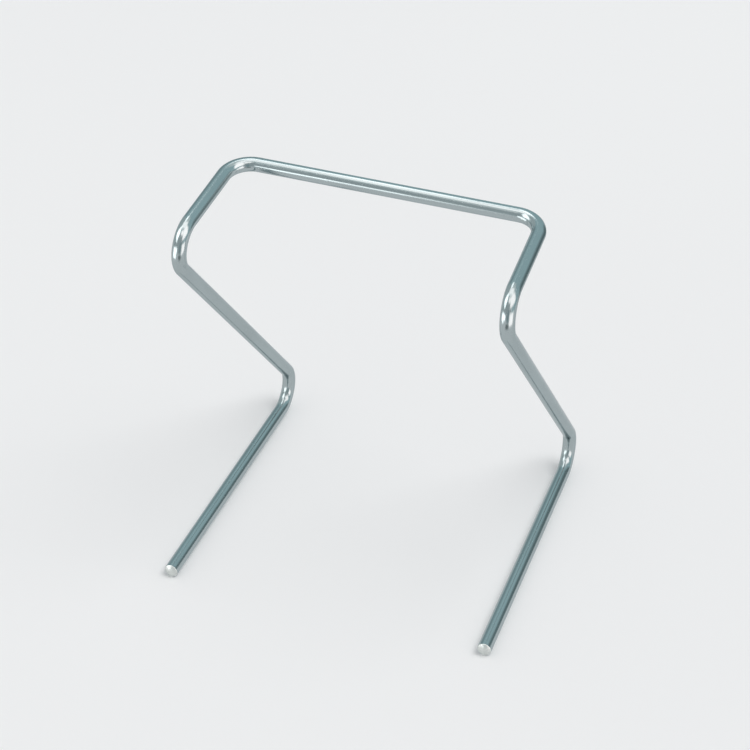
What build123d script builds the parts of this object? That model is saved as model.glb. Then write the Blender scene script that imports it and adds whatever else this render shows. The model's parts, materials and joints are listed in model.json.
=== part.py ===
from build123d import *
import os
from math import acos, degrees, radians, tan

# Instrument stringer: one bright steel rod, cut to length, ground to a shallow dome at
# both ends and pulled round the same peg at six bends. Two feet lie on the table with
# their toes to the front. At each heel the rod turns back on itself and climbs forward
# as a strut. At the knee it turns again and runs back as a short arm to the shoulder,
# and the crossbar that the instruments hang on joins the two shoulders.
#
# Frame: millimetres, +Z up, table at Z = 0, toes at -Y, left and right halves mirrored
# about X = 0. The origin is under the middle of the frame.

# Rod stock, the peg that it is bent round and the rise of the dome on each end
rod_d = 6.0
former_d = 16.0
dome_h = 1.2

# Side view of the frame
frame_depth = 134.5
strut_angle = 49.5
knee_height = 158.0
arm_reach = 64.0
crossbar_height = 164.0

# Front view: distance between the left and right centre lines at each bend and at the toes
crossbar_span = 131.0
knee_span = 134.5
heel_span = 136.0
toe_span = 139.5

rod_r = rod_d / 2
bend_r = former_d / 2 + rod_r

# The heel bend is tangent to the back of the frame, and its corner lies beyond the bend
heel_turn = 180 - strut_angle
heel_bend_y = frame_depth / 2 - rod_r - bend_r
heel_y = heel_bend_y + bend_r * tan(radians(heel_turn) / 2)
knee_y = heel_y - (knee_height - rod_r) / tan(radians(strut_angle))
shoulder_y = knee_y + arm_reach
toe_y = -frame_depth / 2 + dome_h

# The dome is a cap of a sphere that meets the rod at its full width
dome_r = (rod_r**2 + dome_h**2) / (2 * dome_h)
dome_rim = degrees(acos(rod_r / dome_r))

# Corners of the centre line on the right side, from the shoulder down to the toe
right_side = [
    (crossbar_span / 2, shoulder_y, crossbar_height),
    (knee_span / 2, knee_y, knee_height),
    (heel_span / 2, heel_y, rod_r),
    (toe_span / 2, toe_y, rod_r),
]
left_side = [(-x, y, z) for x, y, z in reversed(right_side)]

with BuildPart() as bent_rod:
    with BuildLine() as centre_line:
        FilletPolyline(left_side + right_side, radius=bend_r)
    left_toe = Plane(origin=centre_line.line @ 0, z_dir=-(centre_line.line % 0))
    right_toe = Plane(origin=centre_line.line @ 1, z_dir=centre_line.line % 1)
    with BuildSketch(left_toe):
        Circle(rod_r)
    sweep()
    with Locations(left_toe.offset(dome_h - dome_r), right_toe.offset(dome_h - dome_r)):
        Sphere(dome_r, arc_size1=dome_rim, align=(Align.CENTER, Align.CENTER, Align.NONE))

bent_rod.part.label = "bent_rod"
print(f"Rod cut length: {centre_line.wire().length + 2 * dome_h:.1f} mm")

os.makedirs("parts", exist_ok=True)
export_step(bent_rod.part, "parts/bent_rod.step")
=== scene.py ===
"""Instrument stringer: one bent and polished rod on a pale floor, in a small studio."""
import json
from math import asin, cos, pi, radians, sin, tan

import bpy
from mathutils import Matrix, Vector


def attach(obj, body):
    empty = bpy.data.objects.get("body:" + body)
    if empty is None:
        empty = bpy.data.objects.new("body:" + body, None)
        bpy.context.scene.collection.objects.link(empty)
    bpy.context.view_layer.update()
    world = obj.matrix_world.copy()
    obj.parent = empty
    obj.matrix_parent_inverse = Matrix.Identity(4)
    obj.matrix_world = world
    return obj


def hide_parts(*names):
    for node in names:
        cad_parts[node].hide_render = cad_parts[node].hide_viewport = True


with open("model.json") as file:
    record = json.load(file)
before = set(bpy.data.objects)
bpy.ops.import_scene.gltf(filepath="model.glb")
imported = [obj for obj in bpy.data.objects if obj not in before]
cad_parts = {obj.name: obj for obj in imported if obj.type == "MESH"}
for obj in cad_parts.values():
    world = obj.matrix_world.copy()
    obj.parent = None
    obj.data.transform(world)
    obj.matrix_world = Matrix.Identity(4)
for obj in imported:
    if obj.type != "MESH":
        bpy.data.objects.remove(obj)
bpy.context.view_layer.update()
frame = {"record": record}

# Sizes of the bent rod in metres, the same as in the part's source
crossbar_mount = next(m for m in frame["record"]["mounts"] if m["name"] == "crossbar")
ROD_RADIUS = crossbar_mount["dims"]["r_mm"] / 1000
PEG_RADIUS = 0.008
DOME_HEIGHT = 0.0012
FRAME_DEPTH = 0.1345
STRUT_ANGLE = radians(49.5)
KNEE_HEIGHT = 0.158
ARM_REACH = 0.064
CROSSBAR_HEIGHT = 0.164
CROSSBAR_SPAN = 0.131
KNEE_SPAN = 0.1345
HEEL_SPAN = 0.136
TOE_SPAN = 0.1395
BEND_RADIUS = PEG_RADIUS + ROD_RADIUS
DOME_RADIUS = (ROD_RADIUS**2 + DOME_HEIGHT**2) / (2 * DOME_HEIGHT)

# Fineness of the rod's mesh, and the distance at which its points are welded
STEPS_IN_A_BEND = 44
STEPS_IN_A_DOME = 14
FACETS_ROUND = 96
WELD_DISTANCE = 1e-7

# Width on the foot over which the edge of a dome is shaded as worn round
WORN_EDGE = 0.00015

# Colours are linear red, green and blue. The shades are shares of a metal's colour.
PLATED_METAL = (0.425, 0.485, 0.495)
SMEARED_SHADE = 0.93
GROUND_METAL = (0.70, 0.73, 0.71)
MOTTLED_SHADE = 0.86
GRAZING_TINT = (0.72, 0.76, 0.77, 1)
TABLETOP = (0.895, 0.9, 0.905, 1)
TABLETOP_CLOUDS = (0.915, 0.92, 0.92, 1)
PALE = (0.98, 0.99, 1.0, 1)

# Roughness of the rod clean and smeared, what a line and a pit add to it, and the range on a ground toe
CLEAN_ROUGHNESS = 0.13
SMEARED_ROUGHNESS = 0.18
LINE_ROUGHNESS = 0.05
PIT_ROUGHNESS = 0.10
TOE_ROUGHNESS = (0.36, 0.52)

# Patterns in the finish: noise on the straight rod, and how its places are scaled across and along it
POLISH_LINES = {"across": 1, "along": 0.012, "scale": 2600.0, "detail": 3.0, "roughness": 0.6}
SMEARS = {"across": 1, "along": 0.25, "scale": 160.0, "detail": 3.0, "roughness": 0.55}
SPECKS = {"across": 1, "along": 0.7, "scale": 1500.0, "detail": 1.0, "roughness": 0.4}
GRINDING_RINGS = {"across": 0.12, "along": 1, "scale": 9000.0, "detail": 2.0, "roughness": 0.6}
MOTTLE = {"across": 1, "along": 1, "scale": 700.0, "detail": 3.0, "roughness": 0.6}

# Relief of the finish: its strength, its depth in metres, and how far each pattern counts in it
RELIEF_STRENGTH = 0.35
RELIEF_DEPTH = 0.000012
LINE_RELIEF = 0.6
TOE_RELIEF = 3.0

# The ground finish ends at the rim of the dome, within this share of the dome's height
RIM_BLEND = 0.05

# Strength of the world as light on the scene and where it is seen, and of the tabletop in the metal
AMBIENT = 0.62
BACKDROP = 0.86
TABLETOP_IN_METAL = 0.85

# Sizes of the studio in metres, and how many flat strips make up a curved card
FLOOR_HALF = 12.0
WALL_DISTANCE = 1.6
ROOM_HEIGHT = 2.6
CEILING_HALF = 2.2
MAT_HEIGHT = 0.0005
STRIPS_IN_A_CARD = 24

# The lamp: the way it shines, how wide it looks from the object, and its strength
KEY_DIRECTION = (-0.45, -0.1, -1.0)
KEY_WIDTH = radians(38)
KEY_STRENGTH = 1.05

# The photograph's viewpoint: the camera's place, how far it looks down and left, its lens and its reach
CAMERA_PLACE = (0.24565, -0.67611, 0.61101)
CAMERA_LOOKS_DOWN = radians(36.5238)
CAMERA_LOOKS_LEFT = radians(20.0913)
CAMERA_LENS = 102.77
CAMERA_NEAR = 0.05
CAMERA_FAR = 60


def add_node(tree, kind, inputs=None, **properties):
    """Adds a node, sets its properties, and gives its inputs their values or their links."""
    node = tree.nodes.new(kind)
    for name, value in properties.items():
        setattr(node, name, value)
    for name, value in (inputs or {}).items():
        if isinstance(value, bpy.types.NodeSocket):
            tree.links.new(value, node.inputs[name])
        else:
            node.inputs[name].default_value = value
    return node


def math_node(tree, operation, first, second=0.0):
    """The result socket of a maths node on two values or sockets."""
    return add_node(tree, "ShaderNodeMath", {0: first, 1: second}, operation=operation).outputs[0]


def mix_node(tree, kind, factor, first, second):
    """The result socket of a Mix node of the given kind, FLOAT or RGBA."""
    suffix = {"FLOAT": "Float", "RGBA": "Color"}[kind]
    node = add_node(tree, "ShaderNodeMix", data_type=kind)
    sockets = {s.identifier: s for s in node.inputs}
    for identifier, value in (("Factor_Float", factor), (f"A_{suffix}", first), (f"B_{suffix}", second)):
        if isinstance(value, bpy.types.NodeSocket):
            tree.links.new(value, sockets[identifier])
        else:
            sockets[identifier].default_value = value
    return next(s for s in node.outputs if s.identifier == f"Result_{suffix}")


def ramp_node(tree, value, low, high, start=0.0, end=1.0):
    """The result socket of a smooth ramp that takes low to start and high to end, and stays there beyond."""
    inputs = {"Value": value, "From Min": low, "From Max": high, "To Min": start, "To Max": end}
    return add_node(tree, "ShaderNodeMapRange", inputs, interpolation_type="SMOOTHSTEP").outputs["Result"]


def noise_node(tree, vector, scale, detail, roughness=0.5):
    """The value socket of a Noise texture."""
    inputs = {"Vector": vector, "Scale": scale, "Detail": detail, "Roughness": roughness}
    return add_node(tree, "ShaderNodeTexNoise", inputs).outputs["Fac"]


def new_material(name):
    """A material with an emptied node tree, the tree and its output node."""
    material = bpy.data.materials.new(name)
    material.use_nodes = True
    tree = material.node_tree
    tree.nodes.clear()
    return material, tree, tree.nodes.new("ShaderNodeOutputMaterial")


def opaque(colour, share=1.0):
    """The four values that a colour socket takes, for a share of a colour's brightness."""
    return tuple(c * share for c in colour) + (1,)


def rod_corners():
    """Corners of the centre line, from the left toe over the crossbar to the right toe."""
    heel_turn = pi - STRUT_ANGLE
    heel_bend_y = FRAME_DEPTH / 2 - ROD_RADIUS - BEND_RADIUS
    heel_y = heel_bend_y + BEND_RADIUS * tan(heel_turn / 2)
    knee_y = heel_y - (KNEE_HEIGHT - ROD_RADIUS) / tan(STRUT_ANGLE)
    shoulder_y = knee_y + ARM_REACH
    toe_y = -FRAME_DEPTH / 2 + DOME_HEIGHT
    right_side = [
        Vector((CROSSBAR_SPAN / 2, shoulder_y, CROSSBAR_HEIGHT)),
        Vector((KNEE_SPAN / 2, knee_y, KNEE_HEIGHT)),
        Vector((HEEL_SPAN / 2, heel_y, ROD_RADIUS)),
        Vector((TOE_SPAN / 2, toe_y, ROD_RADIUS)),
    ]
    left_side = [Vector((-p.x, p.y, p.z)) for p in reversed(right_side)]
    return left_side + right_side


def toe_points(toe, inner):
    """Points on a toe's axis, outwards to the tip of its dome, each with its girth as a share of the rod's.

    The dome is a cap of a sphere. Two close rings on the rod keep the shading of its edge off the foot.
    """
    outwards = (toe - inner).normalized()
    yield toe - outwards * WORN_EDGE, 1.0
    yield toe, 1.0
    rim_angle = asin(ROD_RADIUS / DOME_RADIUS)
    for step in range(1, STEPS_IN_A_DOME + 1):
        angle = rim_angle * (1 - step / STEPS_IN_A_DOME)
        rise = DOME_HEIGHT - DOME_RADIUS * (1 - cos(angle))
        yield toe + outwards * rise, DOME_RADIUS * sin(angle) / ROD_RADIUS


def centre_line_mesh():
    """A chain of edges along the rod. Its attributes say which points are bent, and the girth at each."""
    corners = rod_corners()
    left_toe = list(toe_points(corners[0], corners[1]))
    right_toe = list(toe_points(corners[-1], corners[-2]))
    points = [(p, girth, 0.0) for p, girth in reversed(left_toe)]
    points += [(p, 1.0, 1.0) for p in corners[1:-1]]
    points += [(p, girth, 0.0) for p, girth in right_toe]
    mesh = bpy.data.meshes.new("rod_centre_line")
    mesh.from_pydata([p for p, _, _ in points], [(i, i + 1) for i in range(len(points) - 1)], [])
    girths = mesh.attributes.new("girth", "FLOAT", "POINT")
    bends = mesh.attributes.new("bend", "FLOAT", "POINT")
    for i, (_, girth, bend) in enumerate(points):
        girths.data[i].value = girth
        bends.data[i].value = bend
    return mesh


def bent_rod_tree():
    """Geometry Nodes that round a chain's corners and sweep a circle along it.

    straight_rod holds each point's place on the rod as it was before it was bent, and from_tip its
    distance along the rod from the nearer tip. The finishes read both.
    """
    tree = bpy.data.node_groups.new("bent_rod_sweep", "GeometryNodeTree")
    tree.interface.new_socket("Geometry", in_out="OUTPUT", socket_type="NodeSocketGeometry")
    for name, kind in (
        ("Geometry", "NodeSocketGeometry"),
        ("Rod Radius", "NodeSocketFloat"),
        ("Bend Radius", "NodeSocketFloat"),
        ("Steps In A Bend", "NodeSocketInt"),
        ("Facets Round", "NodeSocketInt"),
        ("Weld Distance", "NodeSocketFloat"),
        ("Finish", "NodeSocketMaterial"),
    ):
        tree.interface.new_socket(name, in_out="INPUT", socket_type=kind)
    given = tree.nodes.new("NodeGroupInput").outputs

    def named(name, data_type="FLOAT"):
        node = add_node(tree, "GeometryNodeInputNamedAttribute", {"Name": name}, data_type=data_type)
        return node.outputs["Attribute"]

    def store(geometry, name, value, data_type="FLOAT"):
        inputs = {"Geometry": geometry, "Name": name, "Value": value}
        node = add_node(tree, "GeometryNodeStoreNamedAttribute", inputs, data_type=data_type)
        return node.outputs["Geometry"]

    chain = add_node(tree, "GeometryNodeMeshToCurve", {"Mesh": given["Geometry"]}).outputs["Curve"]
    corner_radius = math_node(tree, "MULTIPLY", named("bend"), given["Bend Radius"])
    rounding = {"Curve": chain, "Count": given["Steps In A Bend"], "Radius": corner_radius}
    line = add_node(tree, "GeometryNodeFilletCurve", rounding, mode="POLY").outputs["Curve"]
    along = tree.nodes.new("GeometryNodeSplineParameter").outputs["Length"]
    whole = tree.nodes.new("GeometryNodeSplineLength").outputs["Length"]
    to_other_tip = math_node(tree, "SUBTRACT", whole, along)
    line = store(line, "along", along)
    line = store(line, "from_tip", math_node(tree, "MINIMUM", along, to_other_tip))

    size = {"Resolution": given["Facets Round"], "Radius": given["Rod Radius"]}
    circle = add_node(tree, "GeometryNodeCurvePrimitiveCircle", size).outputs["Curve"]
    circle = store(circle, "section", tree.nodes.new("GeometryNodeInputPosition").outputs[0], "FLOAT_VECTOR")
    sweep = {"Curve": line, "Profile Curve": circle, "Scale": named("girth")}
    skin = add_node(tree, "GeometryNodeCurveToMesh", sweep).outputs["Mesh"]
    weld = {"Geometry": skin, "Distance": given["Weld Distance"]}
    skin = add_node(tree, "GeometryNodeMergeByDistance", weld).outputs["Geometry"]

    across = add_node(tree, "ShaderNodeSeparateXYZ", {"Vector": named("section", "FLOAT_VECTOR")}).outputs
    place = {"X": across["X"], "Y": across["Y"], "Z": named("along")}
    straight = add_node(tree, "ShaderNodeCombineXYZ", place).outputs["Vector"]
    skin = store(skin, "straight_rod", straight, "FLOAT_VECTOR")
    skin = add_node(tree, "GeometryNodeSetShadeSmooth", {"Geometry": skin}).outputs["Geometry"]
    skin = add_node(tree, "GeometryNodeRealizeInstances", {"Geometry": skin}).outputs["Geometry"]
    finish = {"Geometry": skin, "Material": given["Finish"]}
    skin = add_node(tree, "GeometryNodeSetMaterial", finish).outputs["Geometry"]
    add_node(tree, "NodeGroupOutput", {"Geometry": skin})
    return tree


def make_rod(finish):
    """The rod as a plain mesh object, made by the sweep."""
    pattern = bpy.data.objects.new("rod_pattern", centre_line_mesh())
    bpy.context.scene.collection.objects.link(pattern)
    modifier = pattern.modifiers.new("sweep", "NODES")
    modifier.node_group = bent_rod_tree()
    values = {
        "Rod Radius": ROD_RADIUS,
        "Bend Radius": BEND_RADIUS,
        "Steps In A Bend": STEPS_IN_A_BEND,
        "Facets Round": FACETS_ROUND,
        "Weld Distance": WELD_DISTANCE,
        "Finish": finish,
    }
    for socket in modifier.node_group.interface.items_tree:
        if socket.name in values:
            modifier[socket.identifier] = values[socket.name]
    swept = pattern.evaluated_get(bpy.context.evaluated_depsgraph_get())
    mesh = bpy.data.meshes.new_from_object(swept)
    bpy.data.objects.remove(pattern)
    for unused in ("bend", "along", "section"):
        if unused in mesh.attributes:
            mesh.attributes.remove(mesh.attributes[unused])
    mesh.name = "polished_bent_rod"
    rod = bpy.data.objects.new("polished_bent_rod", mesh)
    bpy.context.scene.collection.objects.link(rod)
    return rod


def polished_rod_material():
    """Bright plated rod, polished lengthwise, with toes that are ground and left satin."""
    material, tree, output = new_material("polished_rod")
    place = add_node(tree, "ShaderNodeAttribute", attribute_name="straight_rod").outputs["Vector"]
    from_tip = add_node(tree, "ShaderNodeAttribute", attribute_name="from_tip").outputs["Fac"]

    def pattern(across, along, **noise):
        scaling = {"Vector": place, "Scale": (across, across, along)}
        scaled = add_node(tree, "ShaderNodeMapping", scaling).outputs["Vector"]
        return noise_node(tree, scaled, **noise)

    rim_inside, rim_outside = DOME_HEIGHT * (1 - RIM_BLEND), DOME_HEIGHT * (1 + RIM_BLEND)
    toe = ramp_node(tree, from_tip, rim_inside, rim_outside, start=1.0, end=0.0)

    # Lengthwise polish lines, broad smears from handling and small pits in the plating
    lines = pattern(**POLISH_LINES)
    smears = pattern(**SMEARS)
    pits = ramp_node(tree, pattern(**SPECKS), low=0.68, high=0.76)
    # Grinding marks run round the domes, over a mottled ground
    rings = pattern(**GRINDING_RINGS)
    mottle = pattern(**MOTTLE)

    smeared = ramp_node(tree, smears, low=0.35, high=0.7, start=CLEAN_ROUGHNESS, end=SMEARED_ROUGHNESS)
    lined = ramp_node(tree, lines, low=0.3, high=0.75, end=LINE_ROUGHNESS)
    pitted = math_node(tree, "MULTIPLY", pits, PIT_ROUGHNESS)
    rod_roughness = math_node(tree, "ADD", math_node(tree, "ADD", smeared, lined), pitted)
    smoothest, roughest = TOE_ROUGHNESS
    toe_roughness = ramp_node(tree, mottle, low=0.3, high=0.7, start=smoothest, end=roughest)
    roughness = mix_node(tree, "FLOAT", toe, rod_roughness, toe_roughness)

    dulled = ramp_node(tree, smears, low=0.3, high=0.7)
    plated = mix_node(tree, "RGBA", dulled, opaque(PLATED_METAL), opaque(PLATED_METAL, SMEARED_SHADE))
    mottled = ramp_node(tree, mottle, low=0.35, high=0.65)
    ground = mix_node(tree, "RGBA", mottled, opaque(GROUND_METAL), opaque(GROUND_METAL, MOTTLED_SHADE))
    colour = mix_node(tree, "RGBA", toe, plated, ground)

    rod_relief = math_node(tree, "SUBTRACT", math_node(tree, "MULTIPLY", lines, LINE_RELIEF), pits)
    ring_relief = math_node(tree, "MULTIPLY", rings, TOE_RELIEF)
    mottle_relief = math_node(tree, "MULTIPLY", mottle, TOE_RELIEF)
    toe_relief = math_node(tree, "ADD", ring_relief, mottle_relief)
    relief = mix_node(tree, "FLOAT", toe, rod_relief, toe_relief)
    bump = {"Strength": RELIEF_STRENGTH, "Distance": RELIEF_DEPTH, "Height": relief}
    shader = add_node(tree, "ShaderNodeBsdfPrincipled", {
        "Base Color": colour,
        "Metallic": 1.0,
        "Roughness": roughness,
        "Specular Tint": GRAZING_TINT,
        "Normal": add_node(tree, "ShaderNodeBump", bump).outputs["Normal"],
    })
    tree.links.new(shader.outputs["BSDF"], output.inputs["Surface"])
    return material


def floor_material():
    """Matt pale tabletop with a faint unevenness, and an even pale background to the metal's reflections."""
    material, tree, output = new_material("pale_tabletop")
    place = tree.nodes.new("ShaderNodeTexCoord").outputs["Object"]
    cloud = noise_node(tree, place, scale=3.0, detail=2.0)
    colour = mix_node(tree, "RGBA", cloud, TABLETOP, TABLETOP_CLOUDS)
    matt = add_node(tree, "ShaderNodeBsdfPrincipled", {
        "Base Color": colour,
        "Roughness": 0.9,
        "Specular IOR Level": 0.2,
    }).outputs["BSDF"]
    even = add_node(tree, "ShaderNodeEmission", {"Color": PALE, "Strength": TABLETOP_IN_METAL}).outputs[0]
    in_metal = tree.nodes.new("ShaderNodeLightPath").outputs["Is Glossy Ray"]
    seen = add_node(tree, "ShaderNodeMixShader", {0: in_metal, 1: matt, 2: even}).outputs[0]
    tree.links.new(seen, output.inputs["Surface"])
    return material


def glow_material(name, colour, fade):
    """Even glow that fades out towards a card's edges, within a share of its width and height."""
    material, tree, output = new_material(name)
    across = add_node(tree, "ShaderNodeUVMap", uv_map="card").outputs["UV"]
    sides = add_node(tree, "ShaderNodeSeparateXYZ", {"Vector": across}).outputs
    glow = add_node(tree, "ShaderNodeEmission", {"Color": opaque(colour), "Strength": 1.0}).outputs[0]
    if fade:
        cover = 1.0
        for side in ("X", "Y"):
            centred = math_node(tree, "ABSOLUTE", math_node(tree, "SUBTRACT", sides[side], 0.5))
            inside = ramp_node(tree, centred, low=0.5 - fade, high=0.5, start=1.0, end=0.0)
            cover = math_node(tree, "MULTIPLY", inside, cover)
        clear = tree.nodes.new("ShaderNodeBsdfTransparent").outputs[0]
        glow = add_node(tree, "ShaderNodeMixShader", {0: cover, 1: clear, 2: glow}).outputs[0]
    tree.links.new(glow, output.inputs["Surface"])
    return material


def only_in_reflections(card):
    """Makes a studio card show in the metal and nowhere else."""
    card.visible_camera = False
    card.visible_diffuse = False
    card.visible_shadow = False
    card.visible_transmission = False


def make_card(name, rows, material):
    """A card from rows of points, with a UV map from 0 to 1 across it."""
    high, wide = len(rows), len(rows[0])
    points = [p for row in rows for p in row]
    faces = [
        (r * wide + c, r * wide + c + 1, (r + 1) * wide + c + 1, (r + 1) * wide + c)
        for r in range(high - 1)
        for c in range(wide - 1)
    ]
    mesh = bpy.data.meshes.new(name)
    mesh.from_pydata(points, [], faces)
    layer = mesh.uv_layers.new(name="card")
    for loop in mesh.loops:
        row, column = divmod(loop.vertex_index, wide)
        layer.data[loop.index].uv = (column / (wide - 1), row / (high - 1))
    mesh.materials.append(material)
    card = bpy.data.objects.new(name, mesh)
    bpy.context.scene.collection.objects.link(card)
    only_in_reflections(card)


def upright_card(name, azimuths, distance, bottoms, tops, colour, fade=0.0):
    """A card that stands round the object. Azimuth 0 is behind it and 90 is to its right.

    Bottoms and tops each have a value for the first azimuth and one for the last.
    """
    rows = ([], [])
    for strip in range(STRIPS_IN_A_CARD + 1):
        share = strip / STRIPS_IN_A_CARD
        azimuth, bottom, top = (start + (end - start) * share for start, end in (azimuths, bottoms, tops))
        x, y = distance * sin(radians(azimuth)), distance * cos(radians(azimuth))
        rows[0].append((x, y, bottom))
        rows[1].append((x, y, top))
    make_card(name, rows, glow_material(name, colour, fade))


def level_card(name, xs, ys, height, colour, fade=0.0):
    """A level card, above the object or on the tabletop."""
    rows = [[(x, y, height) for x in xs] for y in ys]
    make_card(name, rows, glow_material(name, colour, fade))


def make_floor():
    """The tabletop that the object stands on, which carries its shadow."""
    across = (-FLOOR_HALF, FLOOR_HALF)
    mesh = bpy.data.meshes.new("tabletop")
    mesh.from_pydata([(x, y, 0.0) for y in across for x in across], [], [(0, 1, 3, 2)])
    mesh.materials.append(floor_material())
    floor = bpy.data.objects.new("tabletop", mesh)
    bpy.context.scene.collection.objects.link(floor)


def make_room():
    """Dim walls and a paler ceiling, for the rod to mirror where no softbox stands."""
    teal = (0.48, 0.64, 0.67)
    light_grey = (0.57, 0.64, 0.65)
    grey = (0.50, 0.55, 0.56)
    pale_teal = (0.80, 0.87, 0.87)
    for name, azimuths, colour in (
        ("wall_behind", (-50, 50), teal),
        ("wall_left", (-105, -50), light_grey),
        ("wall_right", (50, 125), teal),
        ("wall_front", (125, 255), grey),
    ):
        upright_card(name, azimuths, WALL_DISTANCE, (0, 0), (ROOM_HEIGHT, ROOM_HEIGHT), colour)
    across = (-CEILING_HALF, CEILING_HALF)
    level_card("ceiling", xs=across, ys=across, height=ROOM_HEIGHT, colour=pale_teal)


def make_reflectors():
    """Softboxes and reflectors for the highlights, and stands and mats for the darker bands between them."""
    deep_teal = (0.19, 0.25, 0.26)
    front_teal = (0.31, 0.41, 0.43)
    dim_teal = (0.33, 0.43, 0.45)
    mat_grey = (0.21, 0.24, 0.24)
    pale_grey = (0.55, 0.60, 0.60)
    white = (2.65, 2.65, 2.65)
    half_white = (2.20, 2.00, 1.97)
    warm_white = (1.95, 1.85, 1.83)

    upright_card("dark_stand", azimuths=(23, 60), distance=0.46,
                 bottoms=(0, 0), tops=(0.22, 0.22), colour=deep_teal, fade=0.06)
    upright_card("dim_stand_right", azimuths=(23, 60), distance=0.47,
                 bottoms=(0.2, 0.2), tops=(0.32, 0.32), colour=dim_teal, fade=0.1)
    upright_card("dim_stand_left", azimuths=(-54, -18), distance=1.2,
                 bottoms=(0, 0), tops=(0.85, 0.85), colour=dim_teal, fade=0.25)
    upright_card("softbox_left", azimuths=(-140, -95), distance=0.5,
                 bottoms=(0.32, 0.28), tops=(0.76, 1.1), colour=white, fade=0.06)
    upright_card("softbox_front", azimuths=(146, 200), distance=0.5,
                 bottoms=(0.64, 0.8), tops=(1.4, 1.4), colour=half_white, fade=0.12)
    upright_card("reflector_left", azimuths=(-150, -113), distance=0.4,
                 bottoms=(0, 0), tops=(0.24, 0.16), colour=white, fade=0.08)
    upright_card("softbox_right", azimuths=(84, 148), distance=0.5,
                 bottoms=(0.24, 0.42), tops=(1.4, 1.4), colour=half_white, fade=0.06)
    upright_card("reflector_right", azimuths=(95, 142), distance=0.42,
                 bottoms=(0, 0), tops=(0.16, 0.28), colour=half_white, fade=0.08)
    upright_card("front_low", azimuths=(-168, -138), distance=1.0,
                 bottoms=(0, 0), tops=(0.36, 0.36), colour=white, fade=0.2)
    upright_card("front_dark", azimuths=(152, 170), distance=0.7,
                 bottoms=(0, 0), tops=(0.53, 0.53), colour=front_teal, fade=0.1)
    level_card("softbox_above", xs=(-0.7, 0.5), ys=(-0.29, 0.24), height=1.2, colour=warm_white, fade=0.12)
    level_card("softbox_behind", xs=(-0.55, -0.2), ys=(0.22, 0.8), height=1.21, colour=white, fade=0.12)
    level_card("front_mat", xs=(-0.02, 0.3), ys=(-0.65, -0.24), height=MAT_HEIGHT, colour=mat_grey, fade=0.2)
    level_card("back_mat", xs=(-0.2, 0.5), ys=(0.22, 1.0), height=MAT_HEIGHT, colour=pale_grey, fade=0.2)


def make_lamp():
    """One broad lamp high over the right of the object, which leaves the highlights to the cards."""
    lamp = bpy.data.lights.new("key_light", "SUN")
    lamp.angle = KEY_WIDTH
    lamp.energy = KEY_STRENGTH
    key = bpy.data.objects.new("key_light", lamp)
    key.rotation_euler = Vector(KEY_DIRECTION).to_track_quat("-Z", "Y").to_euler()
    key.visible_glossy = False
    bpy.context.scene.collection.objects.link(key)


def make_world():
    """A pale world that is dimmer as light than it is to look at."""
    world = bpy.data.worlds.new("pale_studio")
    world.use_nodes = True
    tree = world.node_tree
    rays = tree.nodes.new("ShaderNodeLightPath").outputs
    seen = math_node(tree, "MAXIMUM", rays["Is Camera Ray"], rays["Is Glossy Ray"])
    seen = math_node(tree, "MAXIMUM", seen, rays["Is Transmission Ray"])
    background = tree.nodes["Background"]
    background.inputs["Color"].default_value = PALE
    tree.links.new(mix_node(tree, "FLOAT", seen, AMBIENT, BACKDROP), background.inputs["Strength"])
    bpy.context.scene.world = world


def make_camera():
    """The camera, at the photograph's viewpoint."""
    data = bpy.data.cameras.new("camera")
    data.lens = CAMERA_LENS
    data.clip_start = CAMERA_NEAR
    data.clip_end = CAMERA_FAR
    camera = bpy.data.objects.new("camera", data)
    camera.location = CAMERA_PLACE
    camera.rotation_euler = (pi / 2 - CAMERA_LOOKS_DOWN, 0, CAMERA_LOOKS_LEFT)
    bpy.context.scene.collection.objects.link(camera)
    bpy.context.scene.camera = camera


rod = make_rod(polished_rod_material())
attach(rod, "root")
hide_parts("bent_rod")
make_floor()
make_room()
make_reflectors()
make_lamp()
make_world()
make_camera()
bpy.context.scene.view_settings.view_transform = "Standard"
